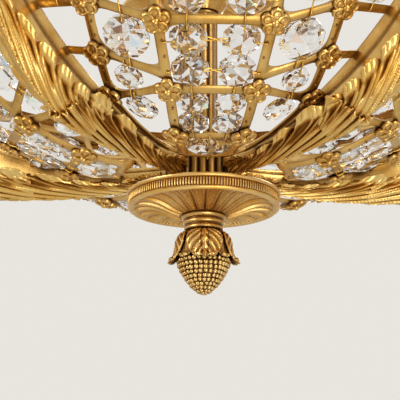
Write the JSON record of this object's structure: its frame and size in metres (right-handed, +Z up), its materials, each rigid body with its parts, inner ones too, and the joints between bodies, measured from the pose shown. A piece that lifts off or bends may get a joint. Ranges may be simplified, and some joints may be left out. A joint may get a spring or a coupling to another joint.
{
  "type": "pendant light",
  "caption": "All-brass basket chandelier with a pierced lattice bowl hung with cut-glass octagons, acanthus arms, a coin-edged dish and a berry finial.",
  "frame": {"origin": "on the ceiling, midway between the two ceiling screws, at the top face of the ceiling bracket", "axes": "+Z up, out of the ceiling screws and into the ceiling; -Y the front, the lobe that faces the viewer; +X along the line of the two ceiling screws"},
  "size_m": [0.4019, 0.402, 0.4718],
  "materials": {
    "brass_satin": "satin",
    "brass_polished": "polished",
    "crystal": "polished",
    "zinc_steel": "satin",
    "sleeve_ivory": "matte",
    "bulb_glass": "frosted"
  },
  "bodies": {
    "mounting": {"ceiling_bracket": "zinc_steel", "threaded_nipple": "brass_satin", "lock_nut": "zinc_steel", "screw_collar": "brass_satin"},
    "canopy_body": {"canopy": "brass_satin", "ring_nut": "brass_satin"},
    "link_body": {"suspension_link": "brass_satin"},
    "chandelier": {"body_loop": "brass_satin", "stem_tube": "brass_satin", "crown_plate": "brass_satin", "crown_bell": "brass_satin", "rim_band": "brass_satin", "hub_drum": "brass_satin", "hub_nut": "brass_satin", "dish": "brass_satin", "neck_collar": "brass_polished", "finial_rod": "brass_satin", "lamp_hub": "brass_satin", "lamp_arms": "brass_satin", "lamp_cups": "brass_satin", "candle_sleeves": "sleeve_ivory", "bulbs": "bulb_glass", "rosettes": "brass_polished", "trellis_panel_1": "brass_satin", "trellis_panel_2": "brass_satin", "trellis_panel_3": "brass_satin", "trellis_panel_4": "brass_satin", "trellis_panel_5": "brass_satin", "crystals_1": "crystal", "crystals_2": "crystal", "crystals_3": "crystal", "crystals_4": "crystal", "crystals_5": "crystal", "hanging_pins_1": "brass_satin", "hanging_pins_2": "brass_satin", "hanging_pins_3": "brass_satin", "hanging_pins_4": "brass_satin", "hanging_pins_5": "brass_satin", "arm_strap_1": "brass_satin", "arm_strap_2": "brass_satin", "arm_strap_3": "brass_satin", "arm_strap_4": "brass_satin", "arm_strap_5": "brass_satin", "acanthus_leaf_1": "brass_satin", "acanthus_leaf_2": "brass_satin", "acanthus_leaf_3": "brass_satin", "acanthus_leaf_4": "brass_satin", "acanthus_leaf_5": "brass_satin", "scroll_arm_1": "brass_satin", "scroll_arm_2": "brass_satin", "scroll_arm_3": "brass_satin", "scroll_arm_4": "brass_satin", "scroll_arm_5": "brass_satin"},
    "finial": {"finial_calyx": "brass_polished", "finial_berry": "brass_polished"}
  },
  "joints": [
    {"name": "canopy_slide", "type": "slide", "parent": "mounting", "child": "canopy_body", "axis": [0, 0, -1], "range_m": [0, 0.012]},
    {"name": "swing_x", "type": "hinge", "parent": "mounting", "child": "link_body", "pos_m": [0, 0, -0.05362], "axis": [1, 0, 0], "range_deg": [-10, 10]},
    {"name": "swing_y", "type": "hinge", "parent": "link_body", "child": "chandelier", "pos_m": [0, 0, -0.07292], "axis": [0, 1, 0], "range_deg": [-10, 10]},
    {"name": "finial_turn", "type": "hinge", "parent": "chandelier", "child": "finial", "pos_m": [0, 0, -0.44], "axis": [0, 0, 1], "continuous": true}
  ]
}
